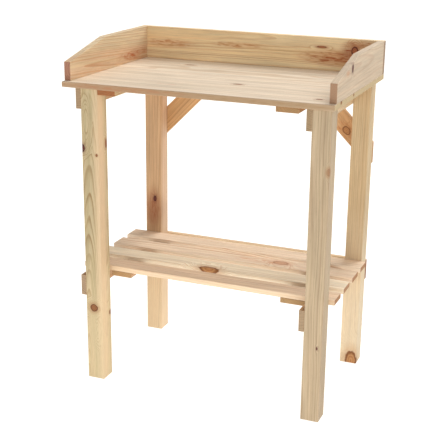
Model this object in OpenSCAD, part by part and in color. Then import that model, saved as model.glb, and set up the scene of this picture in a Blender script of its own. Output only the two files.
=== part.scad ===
// Potting bench in raw planed pine: a worktop with upstands on three sides, carried by two
// leg frames of the same hand, with a slatted shelf and two braces behind the back legs.
// +X is to the right, +Y to the back and +Z up. The origin is on the floor, under the
// middle of the worktop. Millimetres.

/* [Worktop] */
// Width of the worktop
worktop_w = 600; // [540:10:900]
// Depth of the worktop, front to back
worktop_d = 400; // [330:5:600]
// Thickness of the worktop board
worktop_t = 12; // [10:1:24]
// Height of the working surface above the floor
worktop_h = 684; // [520:2:950]

/* [Upstands] */
// Thickness of the upstand boards
upstand_t = 15; // [12:1:24]
// Height of the back upstand, and of the side upstands behind their slope
upstand_h = 75; // [50:1:150]
// Height of a side upstand's front end
cheek_front_h = 40; // [30:1:70]
// Distance from the worktop's front edge to a side upstand's front end
cheek_set = 12.5; // [0:0.5:40]
// Distance from the worktop's front edge to the top of the slope
cheek_knee = 173; // [90:1:260]

/* [Leg frames] */
// Side of the square legs
leg = 40; // [30:1:60]
// How far the worktop overhangs the left legs at the side
left_overhang = 42; // [38:1:80]
// How far the worktop overhangs the right legs at the side
right_overhang = 6; // [0:1:40]
// How far the worktop overhangs the legs in front
front_overhang = 5; // [0:1:40]
// How far the worktop overhangs the legs behind
back_overhang = 45; // [30:1:80]
// Thickness of the side rails and the back rails
rail_t = 12; // [10:1:16]
// Height of the upper side rails, which carry the worktop
upper_rail_w = 45; // [40:1:60]
// Height of the lower side rails, which carry the shelf, and of the lower back rail
lower_rail_w = 48; // [40:1:60]
// Height of the lower rails' upper edges above the floor
shelf_h = 250; // [120:2:330]

/* [Shelf] */
// Number of slats
slat_count = 4; // [3:1:5]
// Width of a slat
slat_w = 48; // [30:1:50]
// Thickness of a slat
slat_t = 12; // [10:1:20]
// Distance from the front legs' back faces to the first slat
slat_set = 10; // [0:1:30]
// How far the slats reach past the left rail
slat_left = 18; // [0:1:30]
// How far the slats reach past the right legs
slat_right = 10; // [0:1:20]

/* [Battens] */
// Thickness of all the battens
batten_t = 12; // [10:1:20]
// Width of the left batten under the worktop, beside the left legs
left_batten_w = 42; // [30:1:60]
// Width of the right batten under the worktop
right_batten_w = 48; // [30:1:60]
// Gap between the right upper rail and the right batten
right_batten_gap = 15.5; // [12:0.5:40]
// Width of the left batten under the shelf
left_shelf_batten_w = 48; // [30:1:60]
// Width of the right batten under the shelf
right_shelf_batten_w = 58; // [30:1:70]
// Gap between the right lower rail and the right shelf batten
shelf_batten_gap = 0; // [0:1:40]

/* [Braces] */
// Width of the braces
brace_w = 46; // [30:1:60]
// Thickness of the braces
brace_t = 12; // [10:1:20]
// Slope of the braces, in degrees from the floor
brace_angle = 45; // [40:1:50]
// How far under the worktop a brace's lower edge would meet the outer face of its leg
brace_drop = 203; // [160:1:240]
// How far a brace's square-cut end stops short of that point
brace_tip = 12; // [2:1:20]

/* [Details] */
// Bevel that eases the long edges of the timber
ease = 1; // [0.4:0.1:2]
// Diameter of the dowels
dowel_d = 6; // [5:1:6]
// Length of the dowels
dowel_l = 40; // [34:1:44]

/* [Hidden] */
$fn = 48;

// Timber colours, from the palest board to the darkest
pale_pine = "#E6D3B8";
warm_pine = "#D9B98C";
honey_pine = "#C9A06A";
zinc = "#B9BCC0";

// Screw sizes: diameter, length, head diameter
long_screw = [4, 40, 8];
leg_screw = [4, 30, 8];
thin_screw = [3.5, 20, 7];
bracket_screw = [3, 11, 5.6];
screw_tip = 4;
recess_l = 3.4;
recess_t = 0.9;
recess_deep = 1.4;

// Brackets: width and thickness of the steel, and the room left beside a flange
bracket_w = 16;
bracket_t = 1.5;
bracket_room = 1.5;

// Main planes of the bench
left = -worktop_w / 2;
right = worktop_w / 2;
front = -worktop_d / 2;
back = worktop_d / 2;
under = worktop_h - worktop_t;
legs_front = front + front_overhang;
legs_back = back - back_overhang;
front_leg_y = legs_front + leg / 2;
back_leg_y = legs_back - leg / 2;
left_leg_x = left + left_overhang;
right_leg_x = right - right_overhang - leg;
frame_d = legs_back - legs_front;
bay_front = legs_front + leg;
bay_back = legs_back - leg;
upper_rail_z = under - upper_rail_w;
lower_rail_z = shelf_h - lower_rail_w;

// Shelf
slat_x = left_leg_x - rail_t - slat_left;
slat_l = right_leg_x + leg + slat_right - slat_x;
slats_front = bay_front + slat_set;
slat_pitch = (bay_back - slats_front - slat_w) / (slat_count - 1);
function slat_y(i) = slats_front + (i - 1) * slat_pitch;
shelf_batten_z = shelf_h - batten_t;
left_shelf_batten_x = left_leg_x + leg;
right_shelf_batten_x = right_leg_x - rail_t - shelf_batten_gap - right_shelf_batten_w;

// Battens under the worktop
top_batten_z = under - batten_t;
top_batten_l = legs_back - rail_t - legs_front;
left_batten_x = left_leg_x + leg;
right_batten_x = right_leg_x - rail_t - right_batten_gap - right_batten_w;

// Upper back rail, let in between the left leg and the right frame's rail
back_rail_x = left_leg_x + leg;
back_rail_l = right_leg_x - rail_t - back_rail_x;
back_rail_y = legs_back - rail_t;

// Braces, measured from the outer face of the leg and from brace_foot_h. They are cut
// shorter where they would meet each other or the shelf.
frame_w = right_leg_x + leg - left_leg_x;
brace_h = min(brace_drop, under - shelf_h - slat_t, (frame_w / 2 - 5) * tan(brace_angle));
brace_foot_h = under - brace_h;
brace_rise = brace_w / cos(brace_angle);
rail_mid_h = upper_rail_z + upper_rail_w / 2 - brace_foot_h;
rail_mid_out = (rail_mid_h - brace_rise / 2) / tan(brace_angle);

// Where the fasteners go. A place is [position, direction], and the tip points that way.
inset = 12;
rail_screw_inset = 6;
function pair(i) = i == 0 ? -1 : 1;

function side_rail_places() = [
    for (x = [left_leg_x, right_leg_x])
    for (z = [upper_rail_z + upper_rail_w / 2, lower_rail_z + lower_rail_w / 2])
    for (y = [front_leg_y, back_leg_y])
    for (i = [0, 1])
    [[x - rail_t, y + pair(i) * rail_screw_inset, z + pair(i) * inset], "+x"]];

function back_rail_places() = [
    for (x = [left_leg_x, right_leg_x])
    for (i = [0, 1])
    [[x + leg / 2 + pair(i) * inset, legs_back + rail_t,
      lower_rail_z + lower_rail_w / 2 + pair(i) * inset], "-y"]];

function dowel_places() = [
    for (x = [back_rail_x, back_rail_x + back_rail_l])
    for (i = [0, 1])
    [x - dowel_l / 2, legs_back - min(rail_t / 2, 6),
     upper_rail_z + upper_rail_w / 2 + pair(i) * inset]];

function cheek_places(x) = [
    for (y = [bay_front + leg / 2, (bay_front + bay_back) / 2, bay_back - leg / 2])
    [[x, y, under], "+z"]];

function upstand_places() = concat(
    cheek_places(left + upstand_t / 2), cheek_places(right - upstand_t / 2),
    [for (i = [-1.5 : 1.5])
     [[i * worktop_w / 4, back - upstand_t / 2, under], "+z"]]);

function corner_places() = [
    for (x = [left + upstand_t / 2, right - upstand_t / 2])
    for (h = [0.25, 0.75])
    [[x, back, worktop_h + h * upstand_h], "-y"]];

function top_batten_places() = [
    for (x = [left_batten_x + left_batten_w / 2, right_batten_x + right_batten_w / 2])
    for (i = [0.5 : 3.5])
    [[x, legs_front + i * top_batten_l / 4, top_batten_z], "+z"]];

function shelf_batten_places() = [
    for (x = [left_shelf_batten_x + left_shelf_batten_w / 2,
        right_shelf_batten_x + right_shelf_batten_w / 2])
    for (n = [1:slat_count])
    for (i = [0, 1])
    [[x + pair(i) * inset, slat_y(n) + slat_w / 2 + pair(i) * inset / 2,
      shelf_batten_z], "+z"]];

// A brace's screws, at a distance in from the leg's outer face and a height over its foot
function brace_places(at) = [
    for (side = [-1, 1])
    for (i = [0, 1])
    let (p = at + pair(i) * inset / 2 * [1, tan(brace_angle)])
    [[outer_x(side) - side * p[0], legs_back + brace_t, brace_foot_h + p[1]], "-y"]];
function outer_x(side) = side < 0 ? left_leg_x : right_leg_x + leg;
brace_leg_at = [leg / 2, leg / 2 * tan(brace_angle) + brace_rise / 2];
brace_rail_at = [rail_mid_out, rail_mid_h];

// A bracket fits beside the right batten, and stays well under the worktop on the left
bracket_flange = min(right_batten_gap, left_overhang - rail_t - 10) - bracket_room;
bracket_hole = bracket_flange * 0.6;
bracket_at = [for (x = [left_leg_x, right_leg_x])
    for (y = [bay_front + leg, bay_back - leg]) [x - rail_t, y, under]];
function bracket_places() = concat(
    [for (p = bracket_at) [p - [bracket_t, 0, bracket_hole], "+x"]],
    [for (p = bracket_at) [p - [bracket_hole, 0, bracket_t], "+z"]]);

// Turns what points down so that it points along a direction
module aim(direction) {
    rotate(direction == "+x" ? [0, -90, 0] : direction == "-x" ? [0, 90, 0] :
        direction == "-y" ? [-90, 0, 0] : direction == "+z" ? [180, 0, 0] : [0, 0, 0])
    children();
}

// The solid of a countersunk screw, which is also the hole that it fills
module shank(size) {
    head_h = (size[2] - size[0]) / 2;
    rotate_extrude()
    polygon([[0, 0], [size[2] / 2, 0], [size[0] / 2, -head_h],
        [size[0] / 2, screw_tip - size[1]], [0, -size[1]]]);
}

module screw(size) {
    difference() {
        shank(size);
        for (a = [0, 90]) rotate([0, 0, a])
        translate([0, 0, -recess_deep / 2])
        cube([recess_l * size[2] / 7, recess_t, recess_deep + 0.01], center = true);
    }
}

module screws(places, size) {
    color(zinc) for (p = places) translate(p[0]) aim(p[1]) screw(size);
}

module drilled(places, size) {
    difference() {
        children();
        for (p = places) translate(p[0]) aim(p[1]) shank(size);
    }
}

module dowels() {
    for (p = dowel_places()) translate(p) rotate([0, 90, 0]) cylinder(d = dowel_d, h = dowel_l);
}

// Cross-section with bevelled corners, from the origin to size
module eased_section(size) {
    a = size[0];
    b = size[1];
    polygon([[ease, 0], [a - ease, 0], [a, ease], [a, b - ease],
        [a - ease, b], [ease, b], [0, b - ease], [0, ease]]);
}

// Boards that run along x, y or z, with their lowest corner at the origin
module board_x(size) {
    translate([size[0], 0, 0]) rotate([0, -90, 0])
    linear_extrude(size[0]) eased_section([size[2], size[1]]);
}

module board_y(size) {
    translate([0, size[1], 0]) rotate([90, 0, 0])
    linear_extrude(size[1]) eased_section([size[0], size[2]]);
}

module board_z(size) {
    linear_extrude(size[2]) eased_section([size[0], size[1]]);
}

module worktop_panel() {
    color(pale_pine)
    drilled(upstand_places(), long_screw)
    drilled(top_batten_places(), thin_screw)
    drilled(bracket_places(), bracket_screw)
    translate([left, front, under]) board_x([worktop_w, worktop_d, worktop_t]);
}

module back_upstand() {
    color(honey_pine)
    drilled(upstand_places(), long_screw)
    drilled(corner_places(), long_screw)
    translate([left, back - upstand_t, worktop_h])
    board_x([worktop_w, upstand_t, upstand_h]);
}

module cheek(x, tint) {
    color(tint)
    drilled(upstand_places(), long_screw)
    drilled(corner_places(), long_screw)
    translate([x, front, worktop_h])
    rotate([90, 0, 90])
    linear_extrude(upstand_t)
    polygon([[cheek_set, 0], [worktop_d - upstand_t, 0], [worktop_d - upstand_t, upstand_h],
        [cheek_knee, upstand_h], [cheek_set, cheek_front_h]]);
}

module left_upstand() { cheek(left, warm_pine); }

module right_upstand() { cheek(right - upstand_t, pale_pine); }

module top_batten(x, w) {
    color(honey_pine)
    drilled(top_batten_places(), thin_screw)
    translate([x, legs_front, top_batten_z]) board_y([w, top_batten_l, batten_t]);
}

module left_top_batten() { top_batten(left_batten_x, left_batten_w); }

module right_top_batten() { top_batten(right_batten_x, right_batten_w); }

module post(x, y) {
    color(warm_pine)
    difference() {
        drilled(side_rail_places(), leg_screw)
        drilled(back_rail_places(), leg_screw)
        drilled(brace_places(brace_leg_at), leg_screw)
        translate([x, y, 0]) board_z([leg, leg, under]);
        dowels();
    }
}

module front_left_leg() { post(left_leg_x, legs_front); }

module back_left_leg() { post(left_leg_x, bay_back); }

module front_right_leg() { post(right_leg_x, legs_front); }

module back_right_leg() { post(right_leg_x, bay_back); }

module side_rail(x, z, w) {
    color(honey_pine)
    difference() {
        drilled(side_rail_places(), leg_screw)
        drilled(bracket_places(), bracket_screw)
        translate([x - rail_t, legs_front, z]) board_y([rail_t, frame_d, w]);
        dowels();
    }
}

module left_upper_rail() { side_rail(left_leg_x, upper_rail_z, upper_rail_w); }

module right_upper_rail() { side_rail(right_leg_x, upper_rail_z, upper_rail_w); }

module left_lower_rail() { side_rail(left_leg_x, lower_rail_z, lower_rail_w); }

module right_lower_rail() { side_rail(right_leg_x, lower_rail_z, lower_rail_w); }

module upper_back_rail() {
    color(honey_pine)
    difference() {
        drilled(brace_places(brace_rail_at), thin_screw)
        translate([back_rail_x, back_rail_y, upper_rail_z])
        board_x([back_rail_l, rail_t, upper_rail_w]);
        dowels();
    }
}

module lower_back_rail() {
    color(warm_pine)
    drilled(back_rail_places(), leg_screw)
    translate([left_leg_x, legs_back, lower_rail_z])
    board_x([frame_w, rail_t, lower_rail_w]);
}

// Runs up from the outer face of its leg to the worktop's underside. Its foot is cut
// square, with the corner that would stand proud of the leg trimmed off.
module back_brace(side) {
    a = brace_angle;
    color(honey_pine)
    drilled(brace_places(brace_leg_at), leg_screw)
    drilled(brace_places(brace_rail_at), thin_screw)
    translate([outer_x(side), legs_back + brace_t, brace_foot_h])
    mirror([side > 0 ? 1 : 0, 0, 0])
    rotate([90, 0, 0])
    linear_extrude(brace_t)
    polygon([brace_tip * [cos(a), sin(a)], [brace_h / tan(a), brace_h],
        [(brace_h - brace_rise) / tan(a), brace_h], [0, brace_rise], [0, brace_tip / sin(a)]]);
}

module left_back_brace() { back_brace(-1); }

module right_back_brace() { back_brace(1); }

module shelf_slat(i) {
    color(i % 2 == 0 ? pale_pine : warm_pine)
    drilled(shelf_batten_places(), thin_screw)
    translate([slat_x, slat_y(i), shelf_h]) board_x([slat_l, slat_w, slat_t]);
}

module shelf_batten(x, w) {
    color(honey_pine)
    drilled(shelf_batten_places(), thin_screw)
    translate([x, slats_front, shelf_batten_z])
    board_y([w, bay_back - slats_front, batten_t]);
}

module left_shelf_batten() { shelf_batten(left_shelf_batten_x, left_shelf_batten_w); }

module right_shelf_batten() { shelf_batten(right_shelf_batten_x, right_shelf_batten_w); }

// Steel angles in the corner between the upper side rails and the worktop
module worktop_brackets() {
    color(zinc)
    drilled(bracket_places(), bracket_screw)
    for (p = bracket_at) translate(p + [0, bracket_w / 2, 0]) rotate([90, 0, 0])
    linear_extrude(bracket_w)
    polygon([[0, 0], [-bracket_flange, 0], [-bracket_flange, -bracket_t],
        [-bracket_t, -bracket_t], [-bracket_t, -bracket_flange], [0, -bracket_flange]]);
}

module back_rail_dowels() { color(pale_pine) dowels(); }

module side_rail_screws() { screws(side_rail_places(), leg_screw); }

module back_rail_screws() { screws(back_rail_places(), leg_screw); }

module upstand_screws() { screws(upstand_places(), long_screw); }

module corner_screws() { screws(corner_places(), long_screw); }

module top_batten_screws() { screws(top_batten_places(), thin_screw); }

module shelf_batten_screws() { screws(shelf_batten_places(), thin_screw); }

module brace_leg_screws() { screws(brace_places(brace_leg_at), leg_screw); }

module brace_rail_screws() { screws(brace_places(brace_rail_at), thin_screw); }

module bracket_screws() { screws(bracket_places(), bracket_screw); }

for (i = [1:slat_count]) shelf_slat(i);
worktop_panel();
back_upstand();
left_upstand();
right_upstand();
left_top_batten();
right_top_batten();
front_left_leg();
back_left_leg();
front_right_leg();
back_right_leg();
left_upper_rail();
right_upper_rail();
left_lower_rail();
right_lower_rail();
upper_back_rail();
lower_back_rail();
left_back_brace();
right_back_brace();
left_shelf_batten();
right_shelf_batten();
worktop_brackets();
back_rail_dowels();
side_rail_screws();
back_rail_screws();
upstand_screws();
corner_screws();
top_batten_screws();
shelf_batten_screws();
brace_leg_screws();
brace_rail_screws();
bracket_screws();
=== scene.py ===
# Potting bench in raw planed pine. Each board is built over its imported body, with its own
# grain, knots and eased edges. The fasteners are zinc plated steel and beech dowels.
import math

import bmesh
import bpy
from mathutils import Matrix, Vector, noise


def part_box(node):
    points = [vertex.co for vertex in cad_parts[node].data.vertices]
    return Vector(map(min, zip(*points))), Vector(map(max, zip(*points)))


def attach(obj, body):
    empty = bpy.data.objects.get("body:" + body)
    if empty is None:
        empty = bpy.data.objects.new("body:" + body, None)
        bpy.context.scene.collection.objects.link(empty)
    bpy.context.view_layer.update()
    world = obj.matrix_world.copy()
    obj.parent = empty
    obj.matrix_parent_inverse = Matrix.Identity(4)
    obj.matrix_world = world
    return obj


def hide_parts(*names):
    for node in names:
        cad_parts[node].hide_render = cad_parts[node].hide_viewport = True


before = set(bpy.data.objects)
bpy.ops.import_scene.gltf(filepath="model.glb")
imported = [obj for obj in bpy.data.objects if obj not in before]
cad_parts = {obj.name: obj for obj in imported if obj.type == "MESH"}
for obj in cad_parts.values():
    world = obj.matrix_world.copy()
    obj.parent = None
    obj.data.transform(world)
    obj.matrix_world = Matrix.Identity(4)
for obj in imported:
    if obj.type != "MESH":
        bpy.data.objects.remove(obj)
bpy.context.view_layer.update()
mm = 0.001


def linear(hexColour, shade=1.0):
    # sRGB hex to the linear colour that shaders expect, darkened by the shade
    parts = [int(hexColour[i : i + 2], 16) / 255 for i in (1, 3, 5)]
    parts = [c / 12.92 if c <= 0.04045 else ((c + 0.055) / 1.055) ** 2.4 for c in parts]
    return [shade * c for c in parts] + [1]


def feed(tree, node, inputs):
    # Sets each socket, found by its name or its place, to a value or to whatever feeds it
    live = [socket for socket in node.inputs if socket.enabled]
    for key, value in inputs.items() if isinstance(inputs, dict) else enumerate(inputs):
        socket = live[key] if isinstance(key, int) else node.inputs[key]
        if isinstance(value, bpy.types.Node):
            value = next(out for out in value.outputs if out.enabled)
        if isinstance(value, bpy.types.NodeSocket):
            tree.links.new(value, socket)
        else:
            socket.default_value = value


def addNode(tree, kind, settings, inputs=()):
    # Adds a shader node with its own choices, a ramp's stops, and its inputs
    node = tree.nodes.new("ShaderNode" + kind)
    for key, value in settings.items():
        if key == "stops":
            ramp = node.color_ramp
            while len(ramp.elements) < len(value):
                ramp.elements.new(0.5)
            for element, (place, tone) in zip(ramp.elements, value):
                element.position = place
                element.color = linear(tone) if isinstance(tone, str) else [tone] * 3 + [1]
        else:
            setattr(node, key, value)
    feed(tree, node, inputs)
    return node


def newMaterial(name):
    material = bpy.data.materials.new(name)
    material.use_nodes = True
    tree = material.node_tree
    return material, tree, tree.nodes["Principled BSDF"]


def newObject(name, bm, material):
    mesh = bpy.data.meshes.new(name)
    bm.to_mesh(mesh)
    bm.free()
    mesh.materials.append(material)
    piece = bpy.data.objects.new(name, mesh)
    bpy.context.scene.collection.objects.link(piece)
    return piece


# Studio: a pale floor that runs out of sight, a soft light overhead, a bigger one behind the
# bench that reaches under its worktop, a weak one on the front right, a long low one before
# the feet, and white surroundings. The camera looks slightly down from the front right.
studio = {
    "floorColour": "#F7F5F1",
    "floorGlow": 1.12,  # keeps the floor pale under the bench, as a lit table does
    "floorDarkness": 0.3,  # how much of the light the painted floor gives back
    "floorRoughness": 0.9,
    "floorGloss": 0.1,
    "floorSize": 40,
    "surroundings": 0.42,  # what the backdrop gives the bench, where it shows as 1
    "overhead": {"at": (0.5, 0.9, 3.8), "aim": (0, 0, 0.4), "size": (2.4, 2.4), "power": 27},
    "behind": {"at": (0.9, 2.6, 3.2), "aim": (0, 0, 0.4), "size": (2.8, 2.8), "power": 86},
    "fill": {"at": (1.8, -2.7, 1.9), "aim": (0, 0, 0.4), "size": (2.6, 2.6), "power": 25},
    "low": {"at": (0.1, -0.9, 0.08), "aim": (0, 0, 0.05), "size": (1.2, 0.14), "power": 1.5},
    "cameraAt": (0.8169, -2.0717, 1.0690),
    "cameraTurn": (21.74, -17.86, 0.76),  # yaw, pitch and roll in degrees
    "cameraLens": 82.9,  # mm, on a sensor of cameraSensor mm
    "cameraSensor": 36,
    "cameraReach": 100,
}


def makeStudio(look):
    scene = bpy.context.scene
    scene.view_settings.view_transform = "Standard"
    world = bpy.data.worlds.new("whiteStudio")
    scene.world = world
    world.use_nodes = True
    tree = world.node_tree
    sight = addNode(tree, "LightPath", {})
    # The backdrop looks white, and lights the bench less than it shows
    seen = sight.outputs["Is Camera Ray"]
    glow = {"Value": seen, "To Min": look["surroundings"], "To Max": 1.0}
    glow = addNode(tree, "MapRange", {}, glow)
    feed(tree, tree.nodes["Background"], {"Color": (1, 1, 1, 1), "Strength": glow})
    for name in ("overhead", "behind", "fill", "low"):
        light = look[name]
        lamp = bpy.data.lights.new(name, "AREA")
        lamp.shape = "ELLIPSE"
        lamp.size, lamp.size_y = light["size"]
        lamp.energy = light["power"]
        holder = bpy.data.objects.new(name, lamp)
        scene.collection.objects.link(holder)
        holder.location = light["at"]
        towards = Vector(light["aim"]) - Vector(light["at"])
        holder.rotation_euler = towards.to_track_quat("-Z", "Y").to_euler()
        holder.visible_camera = False
    # Painted backdrop floor, matt: no sheen, and an even pale tone
    paint, tree, shader = newMaterial("mattFloorPaint")
    feed(
        tree,
        shader,
        {
            "Base Color": linear(look["floorColour"], look["floorDarkness"]),
            "Roughness": look["floorRoughness"],
            "Specular IOR Level": look["floorGloss"],
            "Emission Color": linear(look["floorColour"]),
            "Emission Strength": look["floorGlow"],
        },
    )
    bm = bmesh.new()
    bmesh.ops.create_grid(bm, x_segments=1, y_segments=1, size=look["floorSize"] / 2)
    floor = newObject("floor", bm, paint)
    camera = bpy.data.objects.new("camera", bpy.data.cameras.new("camera"))
    camera.data.lens = look["cameraLens"]
    camera.data.sensor_width = look["cameraSensor"]
    camera.data.clip_end = look["cameraReach"]
    yaw, pitch, roll = (math.radians(angle) for angle in look["cameraTurn"])
    turn = (
        Matrix.Rotation(yaw, 4, "Z")
        @ Matrix.Rotation(math.pi / 2 + pitch, 4, "X")
        @ Matrix.Rotation(roll, 4, "Z")
    )
    camera.matrix_world = Matrix.Translation(look["cameraAt"]) @ turn
    scene.collection.objects.link(camera)
    scene.camera = camera


makeStudio(studio)
print("studio ready")

# How the grain runs: the turn that lays a log's length along it
grainTurns = {
    "x": Matrix.Identity(3),
    "y": Matrix.Rotation(math.radians(90), 3, "Z"),
    "z": Matrix.Rotation(math.radians(-90), 3, "Y"),
    "leftBrace": Matrix.Rotation(math.radians(-45), 3, "Y"),
    "rightBrace": Matrix.Rotation(math.radians(-135), 3, "Y"),
}

# Pine tones: pale early wood, darker late wood, the heart's tint, streaks, and sawn ends
tones = {
    "pale": ("#F0DEC6", "#C79C70", "#E6C8A6", "#D9C6AA", "#CDB68E"),
    "yellow": ("#FCE4B8", "#D09A60", "#F6C890", "#F6D4A0", "#A48872"),
    "cheek": ("#EAD6B2", "#C88A5C", "#DDB08A", "#E4CBA0", "#A06C54"),
    "blush": ("#D2BDA2", "#B48A6C", "#D4B294", "#CAB092", "#AE8A6E"),
    "pink": ("#F5DEC2", "#D09A72", "#EEC6A2", "#E6CAAA", "#B48660"),
    "green": ("#CEBB94", "#94703F", "#D2B68E", "#B8A67C", "#B08A64"),
    "olive": ("#C8B292", "#967856", "#C2A88A", "#B89E80", "#A88A66"),
    "orange": ("#D4B088", "#A67046", "#C29266", "#C8A076", "#B08A60"),
    "shelf": ("#F8E4CA", "#D09A70", "#F0CCA8", "#E8D0B4", "#B48660"),
    "honey": ("#DCB282", "#AA7446", "#CA965F", "#D0A26A", "#A2704C"),
    "tan": ("#D6BD95", "#AE8658", "#CCAA82", "#C8AC84", "#B08056"),
    "cream": ("#FDF0D6", "#D6AC80", "#F0D8B8", "#F0E0C4", "#B98C68"),
}

# Knots: the wood inside, its dark ring, and the stained wood around it
knotTones = {
    "brown": ("#7A4A2C", "#A56E42", "#6E4024"),
    "black": ("#4A231C", "#74382C", "#3A1C18"),
    "red": ("#A05A38", "#B87048", "#6A3424"),
    "orange": ("#A66E42", "#C3905C", "#85542F"),
    "rose": ("#C08C6A", "#D0A07C", "#A8704E"),
}

pineLook = {
    "pitch": 3.4,  # mm from one ring to the next
    "wander": 9.0,  # mm that the rings stray from true circles
    "contrast": 0.9,
    "streaks": 0.5,  # how much of the streak tone shows
    "heart": 22.0,  # mm, radius of the tinted heartwood
    "roughness": 0.6,
    "relief": 0.12,  # mm that late wood stands above early wood
    "lean": (0.6, 0.8),  # degrees that the log dips and swings from the board's length
}

# How any pine is drawn. A pattern is noise: how often it changes in each millimetre along,
# across and through the grain, and its detail. Edges say where something starts to show and
# where it is full.
grain = {
    "bends": ((0.0045, 0.016, 0.016), 2.0),
    "ringChange": 0.09,  # changes of the rings' width in a millimetre
    "ringUnevenness": 2.6,
    "ringStops": [(0.0, 0.6), (0.07, 0.0), (0.5, 0.06), (0.74, 0.35), (0.9, 1.0), (1.0, 0.9)],
    "ringFaintest": 0.25,
    "heartBlur": 9.0,  # mm
    "heartDepth": 0.55,
    "streaks": ((0.0025, 0.11, 0.11), 2.0),
    "streakEdges": (0.46, 0.58),
    "ringOverStreak": 0.5,
    # Broad drift of tone, lines, fine fibres and short resin dashes: the pattern, its edges,
    # and the shades at its two edges
    "layers": (
        ((0.006, 0.045, 0.045), 2.0, (0.3, 0.7), (0.9, 1.07)),
        ((0.012, 0.42, 0.42), 3.0, (0.3, 0.7), (0.89, 1.06)),
        ((0.035, 1.5, 1.5), 2.0, (0.3, 0.7), (0.94, 1.04)),
        ((0.07, 2.6, 2.6), 1.0, (0.64, 0.74), (1.0, 0.8)),
    ),
    "figure": ((0.05, 0.36, 0.36), 3.0, 0.5),  # the last number twists it
    "figureEdges": (0.46, 0.66),
    "patchEdges": (1.0, 0.2),  # in the patch's own reach
    "sawnEdges": (0.55, 0.9),  # how squarely a face crosses the grain
    "sawMarks": ((0.6, 0.6, 0.6), 4.0),
    "sawnShades": (0.8, 1.15),
    "sawnRings": 0.55,  # shade of late wood on a sawn end
    "sawnRoughness": 0.85,
    "index": 1.45,
    "gloss": 0.35,
    # What each layer adds to the relief, before the bump node's own strength
    "ringHeight": 0.5,
    "lineHeight": 0.6,
    "sawnHeight": 0.8,
    "bump": 0.6,
}

# Knots, measured in their own reach: 1 is where the knot ends
knotShape = {
    "outline": ((0.1, 0.14, 0.14), 3.0),
    "raggedness": 0.22,
    "pushEdges": (0.5, 3.4),
    "stainEdges": (2.3, 0.9),
    "stainDepth": 0.45,
    "edges": (1.12, 0.94),
    "rings": (0.0, 0.22, 0.45, 0.6, 0.82, 1.0),
}

# What a knot or a patch has where a board doesn't say
anyKnot = {"push": 1.7, "depth": 1.0}  # push: how far the rings give way, in its lesser reach
anyPatch = {"figure": 0.2, "depth": 1.0}  # figure: 1 for short wavy grain, 0 for an even colour

eased = {"interpolation_type": "SMOOTHSTEP"}
blend = {"data_type": "RGBA"}


def drawnOut(tree, place, stretch, detail, twist=0.0):
    # Noise that is drawn out along the grain, so much in each direction
    place = addNode(tree, "VectorMath", {"operation": "MULTIPLY"}, [place, stretch])
    inputs = {"Vector": place, "Scale": 1.0, "Detail": detail, "Distortion": twist}
    return addNode(tree, "TexNoise", {}, inputs)


def reachFrom(tree, coords, spot, turn):
    # How far a point is from a spot's middle, in the spot's own reach along each direction
    at, size = Vector(spot["at"]) * mm, Vector(spot["size"]) * mm
    place = addNode(
        tree,
        "Mapping",
        {"vector_type": "TEXTURE"},
        [coords.outputs["Object"], at, turn.to_euler(), size],
    )
    return addNode(tree, "VectorMath", {"operation": "LENGTH"}, [place]).outputs["Value"]


def fade(value, edges, depth=1.0):
    # The inputs of a range that goes from nothing to its depth between two edges
    return {"Value": value, "From Min": edges[0], "From Max": edges[1], "To Max": depth}


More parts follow.
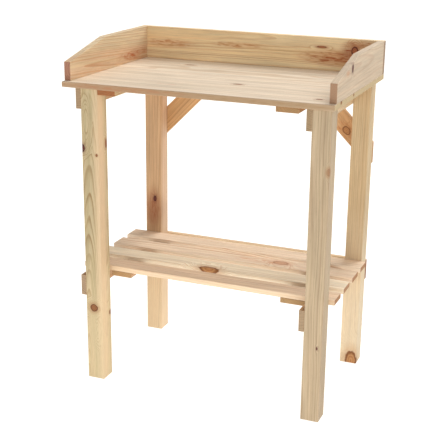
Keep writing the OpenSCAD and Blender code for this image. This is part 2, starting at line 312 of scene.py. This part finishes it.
def makePine(name, board, centre):
    # Raw planed pine: satin, with rings, fine fibres and resin dashes, and rough sawn ends
    look = {**pineLook, **board.get("look", {})}
    early, lateTone, heartTint, streakTone, endTone = tones[board["tone"]]
    heartTint = board.get("heartwood", heartTint)
    endTone = board.get("end", endTone)
    material, tree, shader = newMaterial("planedPine." + name)
    coords = addNode(tree, "TexCoord", {})
    turn = grainTurns[board["grain"]]
    dip, swing = (math.radians(angle) for angle in board.get("lean", look["lean"]))
    leant = turn @ Matrix.Rotation(dip, 3, "Y") @ Matrix.Rotation(swing, 3, "Z")
    pith = centre + turn @ Vector((0, *board["pith"])) * mm
    log = addNode(
        tree,
        "Mapping",
        {"vector_type": "TEXTURE"},
        [coords.outputs["Object"], pith, leant.to_euler(), (mm, mm, mm)],
    )  # millimetres from the pith, with the grain along X
    bend = drawnOut(tree, log, *grain["bends"]).outputs["Color"]
    bend = addNode(tree, "VectorMath", {"operation": "SUBTRACT"}, [bend, (0.5, 0.5, 0.5)])
    wander = (0, look["wander"], look["wander"])
    stray = addNode(tree, "VectorMath", {"operation": "MULTIPLY_ADD"}, [bend, wander, log])
    across = addNode(tree, "VectorMath", {"operation": "MULTIPLY"}, [stray, (0, 1, 1)])
    radius = addNode(tree, "VectorMath", {"operation": "LENGTH"}, [across]).outputs["Value"]

    # Knots push the rings aside, so the lines close round them
    ragged = {
        "Value": drawnOut(tree, log, *knotShape["outline"]),
        "To Min": -knotShape["raggedness"],
        "To Max": knotShape["raggedness"],
    }
    ragged = addNode(tree, "MapRange", {}, ragged)
    spots = []
    for knot in board.get("knots", ()):
        knot = {**anyKnot, **knot}
        reach = reachFrom(tree, coords, knot, turn)
        reach = addNode(tree, "Math", {"operation": "ADD"}, [reach, ragged])
        push = knot["push"] * min(knot["size"][1:])
        swell = {**fade(reach, knotShape["pushEdges"], 0.0), "To Min": push}
        swell = addNode(tree, "MapRange", eased, swell)
        radius = addNode(tree, "Math", {"operation": "ADD"}, [radius, swell])
        if knot["tone"]:  # without a tone, only the lines show that a knot is near
            spots.append((knot, reach))

    # Rings of uneven width, each fading in slowly and ending sharply
    uneven = addNode(tree, "Math", {"operation": "MULTIPLY"}, [radius, grain["ringChange"]])
    uneven = addNode(tree, "TexNoise", {"noise_dimensions": "1D"}, {"W": uneven, "Scale": 1.0})
    count = addNode(tree, "Math", {"operation": "DIVIDE"}, [radius, look["pitch"]])
    count = [uneven, grain["ringUnevenness"], count]
    count = addNode(tree, "Math", {"operation": "MULTIPLY_ADD"}, count)
    phase = addNode(tree, "Math", {"operation": "FRACT"}, [count])
    late = addNode(tree, "ValToRGB", {"stops": grain["ringStops"]}, [phase])
    ring = addNode(tree, "Math", {"operation": "FLOOR"}, [count])
    chance = addNode(tree, "TexWhiteNoise", {"noise_dimensions": "1D"}, {"W": ring})
    strength = {
        "Value": chance.outputs["Value"],
        "To Min": grain["ringFaintest"],
        "To Max": look["contrast"],
    }
    strength = addNode(tree, "MapRange", {}, strength)
    late = addNode(tree, "Math", {"operation": "MULTIPLY"}, [late, strength])
    colour = addNode(tree, "Mix", blend, [late, linear(early), linear(lateTone)])
    heartEdges = (look["heart"] + grain["heartBlur"], look["heart"] - grain["heartBlur"])
    heart = addNode(tree, "MapRange", eased, fade(radius, heartEdges, grain["heartDepth"]))
    colour = addNode(tree, "Mix", blend, [heart, colour, linear(heartTint)])

    # Streaks of another tone, a few millimetres wide
    streak = drawnOut(tree, stray, *grain["streaks"])
    streak = fade(streak, grain["streakEdges"], look["streaks"])
    streak = addNode(tree, "MapRange", eased, streak)
    colour = addNode(tree, "Mix", blend, [streak, colour, linear(streakTone)])
    over = addNode(tree, "Math", {"operation": "MULTIPLY"}, [late, grain["ringOverStreak"]])
    colour = addNode(tree, "Mix", blend, [over, colour, linear(lateTone)])

    layers = []
    for stretch, detail, edges, shades in grain["layers"]:
        layer = drawnOut(tree, stray, stretch, detail)
        layer = {**fade(layer, edges, shades[1]), "To Min": shades[0]}
        layer = addNode(tree, "MapRange", {}, layer)
        layers.append(layer)
        colour = {0: colour, "Scale": layer}
        colour = addNode(tree, "VectorMath", {"operation": "SCALE"}, colour)

    # Patches of another colour: figured wood where the grain is short, wavy and stained, and
    # some painted light and painted shade
    for patch in board.get("patches", ()):
        patch = {**anyPatch, **patch}
        reach = reachFrom(tree, coords, patch, turn)
        area = addNode(tree, "MapRange", eased, fade(reach, grain["patchEdges"]))
        wavy = drawnOut(tree, log, *grain["figure"])
        wavy = addNode(tree, "MapRange", {}, fade(wavy, grain["figureEdges"]))
        wavy = [wavy, patch["figure"], 1 - patch["figure"]]
        wavy = addNode(tree, "Math", {"operation": "MULTIPLY_ADD"}, wavy)
        wavy = addNode(tree, "Math", {"operation": "MULTIPLY"}, [wavy, patch["depth"]])
        area = addNode(tree, "Math", {"operation": "MULTIPLY"}, [area, wavy])
        colour = addNode(tree, "Mix", blend, [area, colour, linear(patch["colour"])])

    # Sawn ends are darker, redder and rougher than planed faces
    facing = [coords.outputs["Normal"], leant @ Vector((1, 0, 0))]
    facing = addNode(tree, "VectorMath", {"operation": "DOT_PRODUCT"}, facing)
    facing = addNode(tree, "Math", {"operation": "ABSOLUTE"}, [facing.outputs["Value"]])
    sawn = addNode(tree, "MapRange", {}, fade(facing, grain["sawnEdges"]))
    grit = drawnOut(tree, log, *grain["sawMarks"])
    darkest, lightest = grain["sawnShades"]
    endShade = {"Value": grit, "To Min": darkest, "To Max": lightest}
    endShade = addNode(tree, "MapRange", {}, endShade)
    endRings = [late, linear(endTone), linear(endTone, grain["sawnRings"])]
    ends = addNode(tree, "Mix", blend, endRings)
    ends = addNode(tree, "VectorMath", {"operation": "SCALE"}, {0: ends, "Scale": endShade})
    colour = addNode(tree, "Mix", blend, [sawn, colour, ends])

    height = [late, grain["ringHeight"], layers[2]]
    height = addNode(tree, "Math", {"operation": "MULTIPLY_ADD"}, height)
    height = [layers[1], grain["lineHeight"], height]
    height = addNode(tree, "Math", {"operation": "MULTIPLY_ADD"}, height)
    for knot, reach in spots:
        core, wood, rim = knotTones[knot["tone"]]
        stain = fade(reach, knotShape["stainEdges"], knotShape["stainDepth"])
        stain = addNode(tree, "MapRange", eased, stain)
        colour = addNode(tree, "Mix", blend, [stain, colour, linear(wood)])
        inside = addNode(tree, "MapRange", eased, fade(reach, knotShape["edges"]))
        stops = list(zip(knotShape["rings"], (core, wood, core, wood, rim, rim)))
        inner = addNode(tree, "ValToRGB", {"stops": stops}, [reach])
        inside = addNode(tree, "Math", {"operation": "MULTIPLY"}, [inside, knot["depth"]])
        colour = addNode(tree, "Mix", blend, [inside, colour, inner])
        height = addNode(tree, "Math", {"operation": "ADD"}, [height, inside])
    height = [grit, grain["sawnHeight"], height]
    height = addNode(tree, "Math", {"operation": "MULTIPLY_ADD"}, height)
    relief = {"Strength": grain["bump"], "Distance": look["relief"] * mm, "Height": height}
    rough = {"Value": sawn, "To Min": look["roughness"], "To Max": grain["sawnRoughness"]}
    shading = {
        "Base Color": colour,
        "Roughness": addNode(tree, "MapRange", {}, rough),
        "IOR": grain["index"],
        "Specular IOR Level": grain["gloss"],
        "Normal": addNode(tree, "Bump", {}, relief),
    }
    feed(tree, shader, shading)
    return material


# Zinc plate on pressed steel: bluish grey, bright but soft, with faint blotches
zincLook = {
    "colour": "#B4B8BC",
    "shade": "#8F9499",
    "blotches": 900.0,  # to the metre: crystals of the plating, about a millimetre apart
    "blotchDetail": 3.0,
    "roughness": (0.28, 0.48),
}


def makeZinc(look):
    material, tree, shader = newMaterial("zincPlatedSteel")
    place = addNode(tree, "TexCoord", {}).outputs["Object"]
    blotch = {"Vector": place, "Scale": look["blotches"], "Detail": look["blotchDetail"]}
    blotch = addNode(tree, "TexNoise", {}, blotch)
    colour = [blotch, linear(look["colour"]), linear(look["shade"])]
    colour = addNode(tree, "Mix", blend, colour)
    smoothest, roughest = look["roughness"]
    rough = {"Value": blotch, "To Min": smoothest, "To Max": roughest}
    rough = addNode(tree, "MapRange", {}, rough)
    feed(tree, shader, {"Base Color": colour, "Metallic": 1.0, "Roughness": rough})
    return material


# Turned beech of the dowels: pinkish, with short dark flecks along it
beechLook = {
    "colour": "#D9B48C",
    "fleck": "#A97C58",
    "flecks": ((300, 2200, 2200), 1.0),  # about 3 mm long and half a millimetre wide
    "fleckEdges": (0.6, 0.7),
    "roughness": 0.6,
}


def makeBeech(look):
    material, tree, shader = newMaterial("turnedBeech")
    place = addNode(tree, "TexCoord", {}).outputs["Object"]
    flecks = drawnOut(tree, place, *look["flecks"])
    flecks = addNode(tree, "MapRange", {}, fade(flecks, look["fleckEdges"]))
    colour = [flecks, linear(look["colour"]), linear(look["fleck"])]
    colour = addNode(tree, "Mix", blend, colour)
    feed(tree, shader, {"Base Color": colour, "Roughness": look["roughness"]})
    return material


# Boards. Pith is where the log's centre lies, in mm from the board's middle across the grain.
# Knots and patches give their place on the bench, and their reach along, across and through
# the grain, in mm. A knot without a tone lies hidden, and only bends the lines. Most patches
# are stains and figure; some are painted light or painted shade, noted where they stand.
boards = {
    "worktop_panel": {
        "grain": "x",
        "tone": "pale",
        "pith": (60, -260),
        "lean": (0.25, 0.5),
        "look": {"pitch": 3.0, "contrast": 0.7, "wander": 9, "streaks": 0.6},
        "knots": [
            {"at": (-142, 120, 684), "size": (10, 4, 30), "tone": "brown", "depth": 0.7},
            {"at": (50, -68, 684), "size": (11, 5, 30), "tone": "brown", "depth": 0.75},
            {"at": (255, -154, 684), "size": (7, 4, 30), "tone": "brown"},
            {"at": (300, -155, 681), "size": (20, 4, 3), "tone": "brown"},
            {"at": (300, -61, 681), "size": (20, 3, 3), "tone": "brown"},
        ],
        "patches": [
            {"at": (-84, -130, 684), "size": (34, 8, 8), "colour": "#D9A58C", "figure": 1.0},
            # Darker along the whole front edge face, with little figure
            {"at": (0, -200, 678), "size": (900, 6, 16), "colour": "#AC8C68", "figure": 0.1},
            {"at": (-170, -200, 678), "size": (240, 6, 9), "colour": "#B88662", "figure": 0.6},
        ],
    },
    "back_upstand": {
        "grain": "x",
        "tone": "yellow",
        "pith": (60, 26),
        "lean": (0.3, 0.2),
        "look": {"pitch": 3.4, "contrast": 0.9, "wander": 9},
        "knots": [
            {"at": (234, 185, 731), "size": (8, 9, 11), "tone": "red"},
            {"at": (156, 185, 737), "size": (11, 3, 2.4), "tone": "red", "depth": 0.8},
        ],
        "patches": [
            {"at": (196, 185, 713), "size": (120, 20, 26), "colour": "#C27C4C", "figure": 0.5},
            {"at": (166, 185, 714), "size": (76, 12, 18), "colour": "#AE6238", "figure": 1.0},
            {"at": (224, 185, 728), "size": (34, 12, 36), "colour": "#A04E2A", "figure": 0.5},
            {"at": (-51, 185, 728), "size": (90, 12, 10), "colour": "#BC7846", "figure": 0.8},
            {"at": (-225, 185, 722), "size": (90, 12, 14), "colour": "#C07A4C", "figure": 0.7},
            {"at": (262, 185, 748), "size": (60, 12, 14), "colour": "#B0683C", "figure": 0.6},
        ],
    },
    "left_upstand": {
        "grain": "y",
        "tone": "cheek",
        "pith": (-16, -24),
        "lean": (3.6, 1.2),
        "look": {"pitch": 4.2, "contrast": 0.75, "wander": 5, "heart": 34},
        "end": "#B4826A",
        "patches": [
            {"at": (-285, 110, 700), "size": (110, 16, 16), "colour": "#B8683E", "figure": 0.7}
        ],
    },
    "right_upstand": {
        "grain": "y",
        "tone": "blush",
        "pith": (60, 14),
        "look": {"pitch": 2.8, "contrast": 0.2, "streaks": 0.2, "wander": 6},
        "knots": [
            {"at": (300, -79, 737), "size": (5.5, 6, 8), "tone": "black", "push": 0.6},
            {"at": (300, -112, 732), "size": (9, 5, 3.5), "tone": "rose", "depth": 0.3},
        ],
    },
    "left_top_batten": {"grain": "y", "tone": "tan", "pith": (16, 30), "end": "#AA7048"},
    "right_top_batten": {"grain": "y", "tone": "orange", "pith": (-20, 24)},
    "front_left_leg": {
        "grain": "z",
        "tone": "green",
        "pith": (10, 10),
        "lean": (1.6, 3.0),
        "look": {"pitch": 2.4, "contrast": 0.75, "wander": 7, "streaks": 0.5},
        "knots": [
            {"at": (-246, -195, 594), "size": (24, 5, 5), "tone": None, "push": 3.0},
            {"at": (-236, -195, 119), "size": (20, 5, 5), "tone": None, "push": 3.0},
            {"at": (-256, -195, 542), "size": (8, 4, 5), "tone": "black"},
            {"at": (-223, -195, 529), "size": (3, 4, 2.4), "tone": "brown"},
            {"at": (-218, -161, 549), "size": (9, 4, 5), "tone": "brown"},
            {"at": (-239, -195, 174), "size": (9, 20, 9), "tone": "brown"},
            {"at": (-218, -159, 154), "size": (5, 4, 5), "tone": "brown"},
        ],
        "patches": [
            {"at": (-218, -185, 340), "size": (900, 30, 20), "colour": "#E6C8A2"},
            # Painted light: the lower leg made paler, as bounce light from the floor makes it
            {"at": (-238, -175, 60), "size": (280, 90, 90), "colour": "#F2DCAE", "depth": 0.4},
        ],
    },
    "back_left_leg": {
        "grain": "z",
        "tone": "orange",
        "pith": (12, -27),
        "heartwood": "#E8CCB2",
        "look": {"pitch": 2.8, "contrast": 0.5, "heart": 25, "wander": 5, "streaks": 0.3},
        "knots": [{"at": (-234, 115, 348), "size": (7, 12, 4), "tone": "black"}],
        "patches": [
            {"at": (-238, 115, 316), "size": (80, 40, 30), "colour": "#94502A", "figure": 0.3},
            # Painted light: the lower leg made paler, as bounce light from the floor makes it
            {"at": (-238, 115, 40), "size": (330, 90, 90), "colour": "#F2DCB4", "depth": 0.6},
        ],
    },
    "front_right_leg": {
        "grain": "z",
        "tone": "olive",
        "pith": (70, 30),
        "lean": (0.3, 0.3),
        "look": {"pitch": 2.3, "contrast": 0.5, "wander": 5, "streaks": 0.4},
        "knots": [
            {"at": (292, -195, 549), "size": (7, 6, 4), "tone": "brown", "depth": 0.3},
            {"at": (284, -195, 170), "size": (3.4, 3, 1.6), "tone": "black"},
        ],
    },
    "back_right_leg": {
        "grain": "z",
        "tone": "tan",
        "pith": (-60, -30),
        "lean": (0.3, 0.3),
        "look": {"pitch": 2.7, "contrast": 0.6, "wander": 6},
        "knots": [{"at": (281, 115, 6), "size": (25, 16, 14), "tone": "orange"}],
        "patches": [
            # Mostly painted light, with some paler wood of its own: the lower leg made paler,
            # as bounce light from the floor makes it
            {"at": (274, 115, 90), "size": (330, 90, 90), "colour": "#FFF0D4", "depth": 0.5},
        ],
    },
    "left_upper_rail": {"grain": "y", "tone": "orange", "pith": (8, 40), "end": "#B09474"},
    "right_upper_rail": {"grain": "y", "tone": "cheek", "pith": (-12, 36), "end": "#AA9070"},
    "left_lower_rail": {"grain": "y", "tone": "orange", "pith": (10, -34), "end": "#B4987A"},
    "right_lower_rail": {"grain": "y", "tone": "orange", "pith": (10, 38), "end": "#B09678"},
    "upper_back_rail": {"grain": "x", "tone": "orange", "pith": (12, 40)},
    "lower_back_rail": {"grain": "x", "tone": "cheek", "pith": (16, 44)},
    "left_back_brace": {
        "grain": "leftBrace",
        "tone": "honey",
        "pith": (40, 30),
        "look": {"contrast": 0.5, "streaks": 0.3},
    },
    "right_back_brace": {
        "grain": "rightBrace",
        "tone": "honey",
        "pith": (40, 30),
        "look": {"contrast": 0.5, "streaks": 0.3},
        "knots": [{"at": (232, 155, 556), "size": (11, 12, 8), "tone": "orange"}],
        "patches": [
            {"at": (230, 155, 556), "size": (34, 12, 24), "colour": "#B4602C", "figure": 1.0},
        ],
    },
    "shelf_slat_1": {
        "grain": "x",
        "tone": "pink",
        "pith": (40, -36),
        "patches": [
            {"at": (0, -147, 256), "size": (900, 8, 14), "colour": "#FBDDB6", "depth": 0.7}
        ],
    },
    "shelf_slat_2": {
        "grain": "x",
        "tone": "cream",
        "pith": (-44, -40),
        "look": {"contrast": 0.7},
        "knots": [{"at": (-10, -77, 262), "size": (24, 13, 14), "tone": "orange"}],
    },
    "shelf_slat_3": {
        "grain": "x",
        "tone": "shelf",
        "pith": (34, -50),
        "knots": [{"at": (127, 26, 262), "size": (19, 11, 14), "tone": "rose", "depth": 0.7}],
        "patches": [
            {"at": (80, 24, 262), "size": (90, 22, 20), "colour": "#D89C70", "figure": 1.0},
        ],
    },
    "shelf_slat_4": {"grain": "x", "tone": "shelf", "pith": (50, -36)},
    "left_shelf_batten": {
        "grain": "y",
        "tone": "orange",
        "pith": (20, 24),
        "end": "#C29A6E",
        "patches": [
            # Painted shadow: the batten's top darkened where the slats over it shade it
            {"at": (-194, 0, 251), "size": (900, 90, 5), "colour": "#8C6636", "depth": 0.75}
        ],
    },
    "right_shelf_batten": {
        "grain": "y",
        "tone": "orange",
        "pith": (-18, 26),
        "end": "#BC986C",
        "patches": [
            # Painted shadow: the batten's top darkened where the slats over it shade it
            {"at": (213, 0, 251), "size": (900, 90, 5), "colour": "#94703E", "depth": 0.6}
        ],
    },
}

# Planed stock: how far its edges are eased, and how its faces depart from flat
stock = {
    "ease": 1.1,  # mm
    "easeSteps": 3,
    "cutEvery": 15.0,  # mm between cross cuts, so the faces can undulate
    "undulation": 0.16,  # mm
    "undulationsPerMetre": 14,
    "dent": 0.5,  # mm, deepest knock in an edge
    "dentsPerMetre": 70,
    "dentRarity": 0.35,
    "dentShift": (3, 5, 7),  # keeps the dents' noise apart from the undulation's
    "faceNormal": 0.97,  # a vertex turned further from square than this is on an edge
    "sharpFrom": 40,  # degrees
}

# Side upstands and braces are cut to an outline, in mm
outlines = {
    "cheekFrontHeight": 40.0,
    "cheekKnee": 160.5,  # from the side upstand's front end to the top of its slope
    "braceTip": 12.0,
    "braceWidth": 46.0,
}

# Countersunk holes, in mm: every head sits in a cone of its own
screwHoles = {
    "depth": 2.4,
    "clearance": 0.12,  # wood crushed round each head
    "above": 0.4,  # how far the cutting cone stands out of the wood
    "sides": 32,
    "slack": 0.5,  # a head this near the board's box is still on the board
    "under": 1.0,  # and the wood this far under it is inside the board
    "weld": 0.005,  # joins the loose triangles of a packed screw
    "level": 0.05,  # a vertex this near a screw's end belongs to that end
}


def outlineOf(name, low, high):
    # The outline's points and the way it is drawn out, for the boards that aren't plain lengths
    if name in ("left_upstand", "right_upstand"):
        knee = low.y + outlines["cheekKnee"] * mm
        step = low.z + outlines["cheekFrontHeight"] * mm
        points = [
            (low.y, low.z),
            (high.y, low.z),
            (high.y, high.z),
            (knee, high.z),
            (low.y, step),
        ]
        return [(low.x, y, z) for y, z in points], Vector((high.x - low.x, 0, 0))
    if name in ("left_back_brace", "right_back_brace"):
        tip = outlines["braceTip"] * mm
        rise = outlines["braceWidth"] * mm * math.sqrt(2)
        inner = tip * math.sqrt(0.5)
        foot = low.z - inner
        tall = high.z - foot
        points = [
            (inner, inner),
            (tall, tall),
            (tall - rise, tall),
            (0, rise),
            (0, tip * math.sqrt(2)),
        ]
        side = 1 if name.startswith("left") else -1
        edge = low.x if side > 0 else high.x
        points = [(edge + side * x, low.y, foot + z) for x, z in points]
        return points, Vector((0, high.y - low.y, 0))
    return None, None


def screwHeads(node):
    # The middle of each head in a node of screws, the way out of the wood, and its radius
    bm = bmesh.new()
    bm.from_mesh(node.data)
    bm.transform(node.matrix_world)
    bmesh.ops.remove_doubles(bm, verts=bm.verts, dist=screwHoles["weld"] * mm)
    left, found = set(bm.verts), []
    while left:
        screw, edge = [], [left.pop()]
        while edge:
            vert = edge.pop()
            screw.append(vert.co)
            near = {link.other_vert(vert) for link in vert.link_edges} & left
            left -= near
            edge.extend(near)
        low = Vector(min(point[i] for point in screw) for i in range(3))
        high = Vector(max(point[i] for point in screw) for i in range(3))
        size = high - low
        axis = max(range(3), key=lambda i: size[i])
        level = screwHoles["level"] * mm
        atLow, atHigh = (
            sum(abs(point[axis] - end[axis]) < level for point in screw) for end in (low, high)
        )
        out = Vector((0, 0, 0))
        out[axis] = 1 if atHigh > atLow else -1
        middle = (low + high) / 2
        middle[axis] = (high if out[axis] > 0 else low)[axis]
        found.append((middle, out, size[(axis + 1) % 3] / 2))
    bm.free()
    return found


heads = [
    head
    for name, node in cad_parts.items()
    if name.endswith("_screws")
    for head in screwHeads(node)
]
print(len(heads), "screw heads found")


def countersink(piece, low, high):
    # Cuts a cone for every head that lies on this board's surface
    bm = bmesh.new()
    slack, above = screwHoles["slack"] * mm, screwHoles["above"] * mm
    deep = screwHoles["depth"] * mm
    for middle, out, radius in heads:
        inner = middle - out * screwHoles["under"] * mm
        if not all(low[i] - slack < middle[i] < high[i] + slack for i in range(3)):
            continue
        if not all(low[i] < inner[i] < high[i] for i in range(3)):
            continue
        wide = radius + screwHoles["clearance"] * mm
        turn = out.to_track_quat("Z", "Y").to_matrix().to_4x4()
        bmesh.ops.create_cone(
            bm,
            cap_ends=True,
            segments=screwHoles["sides"],
            radius1=wide - deep,
            radius2=wide + above,
            depth=deep + above,
            matrix=Matrix.Translation(middle + out * (above - deep) / 2) @ turn,
        )
    if not bm.verts:
        bm.free()
        return
    for face in bm.faces:
        face.smooth = len(face.verts) == 4
    cutter = newObject("cutter", bm, piece.data.materials[0])
    carve = piece.modifiers.new("screwHoles", "BOOLEAN")
    carve.operation = "DIFFERENCE"
    carve.solver = "EXACT"
    carve.object = cutter
    bpy.context.view_layer.update()
    whole = piece.evaluated_get(bpy.context.evaluated_depsgraph_get())
    carved = bpy.data.meshes.new_from_object(whole)
    piece.modifiers.clear()
    piece.data = carved
    bpy.data.objects.remove(cutter)


def buildBoard(name, board):
    low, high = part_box(name)
    centre = (low + high) / 2
    bm = bmesh.new()
    outline, depth = outlineOf(name, low, high)
    if outline:
        face = bm.faces.new([bm.verts.new(point) for point in outline])
        grown = bmesh.ops.extrude_face_region(bm, geom=[face])
        moved = [part for part in grown["geom"] if isinstance(part, bmesh.types.BMVert)]
        bmesh.ops.translate(bm, vec=depth, verts=moved)
        bmesh.ops.recalc_face_normals(bm, faces=bm.faces)
    else:
        block = Matrix.Translation(centre) @ Matrix.Diagonal((*(high - low), 1))
        bmesh.ops.create_cube(bm, size=1, matrix=block)
    bmesh.ops.bevel(
        bm,
        geom=list(bm.edges),
        offset=stock["ease"] * mm,
        segments=stock["easeSteps"],
        profile=0.5,
        affect="EDGES",
        material=-1,
    )
    # Cross cuts along the grain, so that the faces can undulate
    along = grainTurns[board["grain"]] @ Vector((1, 0, 0))
    places = [along.dot(vert.co - centre) for vert in bm.verts]
    start, length = min(places), max(places) - min(places)
    cuts = int(length / (stock["cutEvery"] * mm))
    for i in range(1, cuts):
        bmesh.ops.bisect_plane(
            bm,
            geom=bm.verts[:] + bm.edges[:] + bm.faces[:],
            plane_co=centre + along * (start + length * i / cuts),
            plane_no=along,
        )
    bm.normal_update()
    for vert in bm.verts:
        sway = noise.noise(vert.co * stock["undulationsPerMetre"]) * 0.5 + 0.5  # 0 to 1
        knock = noise.noise(vert.co * stock["dentsPerMetre"] + Vector(stock["dentShift"]))
        knock = max(0, knock - stock["dentRarity"])
        onEdge = max(abs(part) for part in vert.normal) < stock["faceNormal"]
        sink = stock["undulation"] * sway + (stock["dent"] * knock if onEdge else 0)
        vert.co -= vert.normal * sink * mm
    for face in bm.faces:
        face.smooth = True
    piece = newObject("board_" + name, bm, makePine(name, board, centre))
    countersink(piece, low, high)
    piece.data.set_sharp_from_angle(angle=math.radians(stock["sharpFrom"]))
    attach(piece, "root")
    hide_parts(name)
    flat = piece.modifiers.new("evenNormals", "WEIGHTED_NORMAL")
    flat.keep_sharp = True


for name, board in boards.items():
    buildBoard(name, board)
print(len(boards), "boards built")

zinc = makeZinc(zincLook)
beech = makeBeech(beechLook)
for name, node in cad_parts.items():
    if name not in boards:
        node.data.materials.clear()
        node.data.materials.append(beech if "dowels" in name else zinc)
print("fasteners finished")
